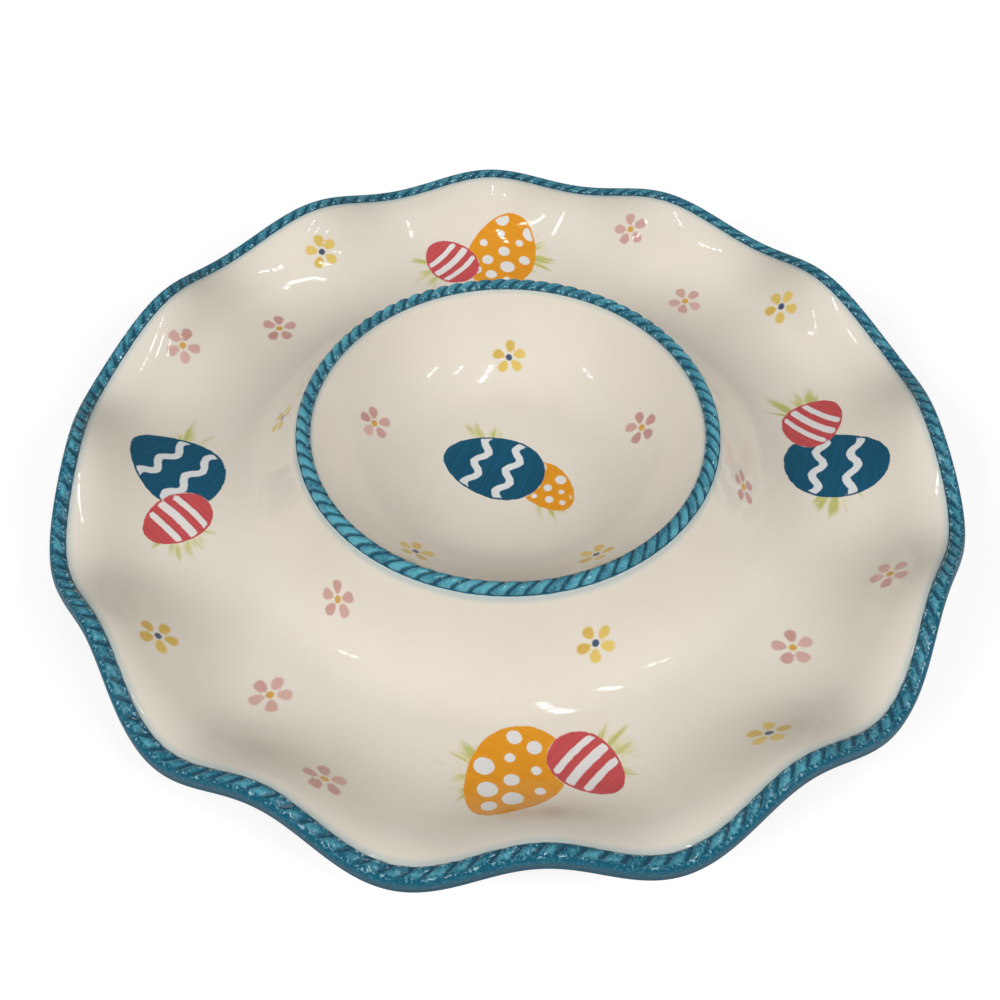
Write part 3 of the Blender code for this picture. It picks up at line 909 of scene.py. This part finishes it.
bowl_rope = grown(
    "bowl_rope_twist",
    rope_tree,
    bpy.data.meshes.new("bead"),
    {
        "Strands": BOWL_STRANDS,
        "Steps per strand": STRAND_STEPS,
        "Steps over": BEAD_STEPS,
        "Radius": CREST_RADIUS - ROPE_SETBACK / 2,
        "Width": BOWL_ROPE_WIDTH - ROPE_SETBACK,
        "Rise": BOWL_ROPE_RISE,
        "Seat": CREST_HEIGHT,
        "Fullness": 0.9,
        "Groove": BOWL_GROOVE,
        "Lean": STRAND_LEAN,
        "Plain side": 1.3,
        "Plain inside": -0.7,
        # Paleness of the thin glaze and painted light on the strands, pooling, and strength of the painted
        # glints
        "Thin and lit": 1.25,
        "Pooling": 1.1,
        "Painted glints": 0.9,
        "Finish": teal_glaze,
    },
)
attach(bowl_rope, "root")
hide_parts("bowl_rope")

# Foot rings: two rings of bare clay below the trough and the bowl, wiped clean of glaze so that the platter
# doesn't stick to the kiln shelf, and rubbed smooth where they stand.
FOOT_ROUNDING = 0.0012
FOOT_ROUND_STEPS = 4
FOOT_STEPS = 240
CLAY_PALE = "#d9c8ac"
CLAY_DARK = "#c3ae8f"
IRON = "#8a6a4a"
CLOUD_SIZE = 14 * MM
GROG_SIZE = 0.9 * MM


def bare_stoneware():
    """Unglazed stoneware: matt, sandy, with fine grog and a few iron specks."""
    material, tree, place = new_material("unglazed_stoneware")
    cloud = add(tree, NOISE, {"Vector": place, "Scale": 1 / CLOUD_SIZE, "Detail": 4.0})
    grog = add(tree, NOISE, {"Vector": place, "Scale": 1 / GROG_SIZE, "Detail": 3.0})
    iron = add(tree, RANGE, {"Value": grog, "From Min": 0.66, "From Max": 0.74, "To Max": 0.7})
    clay_colours = {"Factor": cloud, "A": linear(CLAY_PALE), "B": linear(CLAY_DARK)}
    clay = add(tree, MIX, clay_colours, data_type="RGBA")
    colour = add(tree, MIX, {"Factor": iron, "A": clay, "B": linear(IRON)}, data_type="RGBA")
    bump = add(tree, "ShaderNodeBump", {"Height": grog, "Strength": 0.6, "Distance": 0.15 * MM})
    looks = {"Base Color": colour, "Roughness": 0.85, "Normal": bump}
    shader = add(tree, "ShaderNodeBsdfPrincipled", looks)
    add(tree, "ShaderNodeOutputMaterial", {"Surface": shader})
    return material


def foot_outline(node, underside):
    """Outline of a foot ring as wide as its solid, from the table up into the clay above it."""
    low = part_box(node)[0]
    radii = [Vector(point.co[:2]).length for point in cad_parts[node].data.vertices]
    inner = min(radii)
    outer = max(radii)
    order = np.argsort(underside[:, 0])
    top = [(r, np.interp(r, underside[order, 0], underside[order, 1]), 0.0) for r in (inner, outer)]
    foot = [(outer, low[2], 0.0), (inner, low[2], 0.0)]
    outer_round = rounded(top[1], foot[0], foot[1], FOOT_ROUNDING, FOOT_ROUND_STEPS)
    inner_round = rounded(foot[0], foot[1], top[0], FOOT_ROUNDING, FOOT_ROUND_STEPS)
    return np.vstack([*top, outer_round, inner_round, top[0]])


bare_clay = bare_stoneware()
for node, clay_above in (("dish_foot_ring", under), ("bowl_foot_ring", bowl_under)):
    foot = grown(
        f"bare_{node}",
        clay_tree,
        outline_mesh(foot_outline(node, clay_above)),
        {"Steps round": FOOT_STEPS, "Finish": bare_clay},
    )
    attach(foot, "root")
    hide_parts(node)

# Studio: a white paper sweep, the light of a room with pairs of ceiling tubes and a soft window on each
# side, and the camera at the photo's angle. The paper glows for the camera, more with the distance from the
# platter, and dimly in reflections, so that it reads as white all round while the platter keeps its shadow.
FLOOR_SIZE = 8.0
PAPER = "#a8a8a8"
WHITE = "#ffffff"
GLOW = {"From Min": 0.4, "From Max": 2.0, "To Min": 0.74, "To Max": 1.0}
MIRRORED_GLOW = 0.12

corner = FLOOR_SIZE / 2
corners = [(-corner, -corner, 0), (corner, -corner, 0), (corner, corner, 0), (-corner, corner, 0)]
floor_mesh = bpy.data.meshes.new("studio_floor")
floor_mesh.from_pydata(corners, [], [(0, 1, 2, 3)])
floor = bpy.data.objects.new("studio_floor", floor_mesh)
bpy.context.scene.collection.objects.link(floor)
paper, tree, place = new_material("white_paper_sweep")
rays = add(tree, "ShaderNodeLightPath").outputs
mirrored = add(tree, MATH, (rays["Is Glossy Ray"], rays["Is Transmission Ray"]), operation="MAXIMUM")
dim = add(tree, MATH, (mirrored, MIRRORED_GLOW), operation="MULTIPLY")
distance = add(tree, "ShaderNodeVectorMath", (place,), operation="LENGTH")
white = add(tree, RANGE, {"Value": distance, **GLOW})
glow = add(tree, MATH, (rays["Is Camera Ray"], white, dim), operation="MULTIPLY_ADD")
matt = {"Base Color": linear(PAPER), "Roughness": 0.9, "Specular IOR Level": 0.0}
glowing = {"Emission Color": linear(WHITE), "Emission Strength": glow}
shader = add(tree, "ShaderNodeBsdfPrincipled", {**matt, **glowing})
add(tree, "ShaderNodeOutputMaterial", {"Surface": shader})
floor_mesh.materials.append(paper)

# Pairs of ceiling tubes, as far to the right and to the back of the platter as the glints on its glaze tell
TUBE_PAIRS = ((0.30, 0.0), (0.30, -0.57), (0.90, -0.65), (1.67, -0.73), (-1.80, -0.79))
TUBE_SPACING = 0.24
TUBE_LENGTH = 0.15
TUBE_WIDTH = 0.055
TUBE_HEIGHT = 2.2
TUBE_POWER = 1.1
room = Matrix.Rotation(VIEW_TURN, 4, "Z")
for right, back in TUBE_PAIRS:
    for half_step in (-TUBE_SPACING / 2, TUBE_SPACING / 2):
        tube_data = bpy.data.lights.new("ceiling_tube", "AREA")
        tube_data.shape = "RECTANGLE"
        tube_data.size = TUBE_WIDTH
        tube_data.size_y = TUBE_LENGTH
        tube_data.energy = TUBE_POWER
        tube = bpy.data.objects.new("ceiling_tube", tube_data)
        tube.matrix_world = room @ Matrix.Translation((right, back + half_step, TUBE_HEIGHT))
        bpy.context.scene.collection.objects.link(tube)

# Windows: turn from the camera's side and power of each
WINDOWS = ((radians(60), 33.0), (radians(-60), 37.95))
WINDOW_SIZE = 1.2
WINDOW_DISTANCE = 2.6
WINDOW_RISE = radians(36)
for turn, power in WINDOWS:
    window_data = bpy.data.lights.new("soft_window", "AREA")
    window_data.size = WINDOW_SIZE
    window_data.energy = power
    window = bpy.data.objects.new("soft_window", window_data)
    aim = Matrix.Rotation(turn, 4, "Z") @ Matrix.Rotation(pi / 2 - WINDOW_RISE, 4, "X")
    window.matrix_world = room @ aim @ Matrix.Translation((0, 0, WINDOW_DISTANCE))
    window.visible_glossy = False
    bpy.context.scene.collection.objects.link(window)

# Room: white to the camera, dim on the platter and a little brighter in its reflections
ROOM_LIGHT = 0.08
MIRRORED_LIGHT = 0.12
world = bpy.data.worlds.new("studio")
world.use_nodes = True
tree = world.node_tree
tree.nodes.clear()
rays = add(tree, "ShaderNodeLightPath").outputs
mirrored = add(tree, MATH, (rays["Is Glossy Ray"], rays["Is Transmission Ray"]), operation="MAXIMUM")
light = add(tree, MATH, (mirrored, MIRRORED_LIGHT, ROOM_LIGHT), operation="MULTIPLY_ADD")
strength = add(tree, MATH, (rays["Is Camera Ray"], light), operation="MAXIMUM")
sky = add(tree, "ShaderNodeBackground", {"Color": linear(WHITE), "Strength": strength})
add(tree, "ShaderNodeOutputWorld", {"Surface": sky})
bpy.context.scene.world = world

# Camera: its rise and distance from the middle of the rim's plane, its own small turns and its lens, with
# angles in radians and the lens in mm
CAMERA_RISE = 0.84697
CAMERA_DISTANCE = 0.47370
CAMERA_PAN = 0.00604
CAMERA_TILT = -0.05284
CAMERA_ROLL = 0.01639
LENS = 40.136
SENSOR_WIDTH = 36.0
camera_data = bpy.data.cameras.new("camera")
camera_data.lens = LENS
camera_data.sensor_width = SENSOR_WIDTH
camera = bpy.data.objects.new("camera", camera_data)
back = CAMERA_DISTANCE * np.cos(CAMERA_RISE)
up = CAMERA_DISTANCE * np.sin(CAMERA_RISE)
aim = Matrix.Rotation(pi / 2 - CAMERA_RISE, 4, "X") @ Matrix.Rotation(CAMERA_PAN, 4, "Y")
aim = aim @ Matrix.Rotation(CAMERA_TILT, 4, "X") @ Matrix.Rotation(CAMERA_ROLL, 4, "Z")
camera.matrix_world = room @ Matrix.Translation((0, -back, up + RIM_HEIGHT)) @ aim
bpy.context.scene.collection.objects.link(camera)
bpy.context.scene.camera = camera
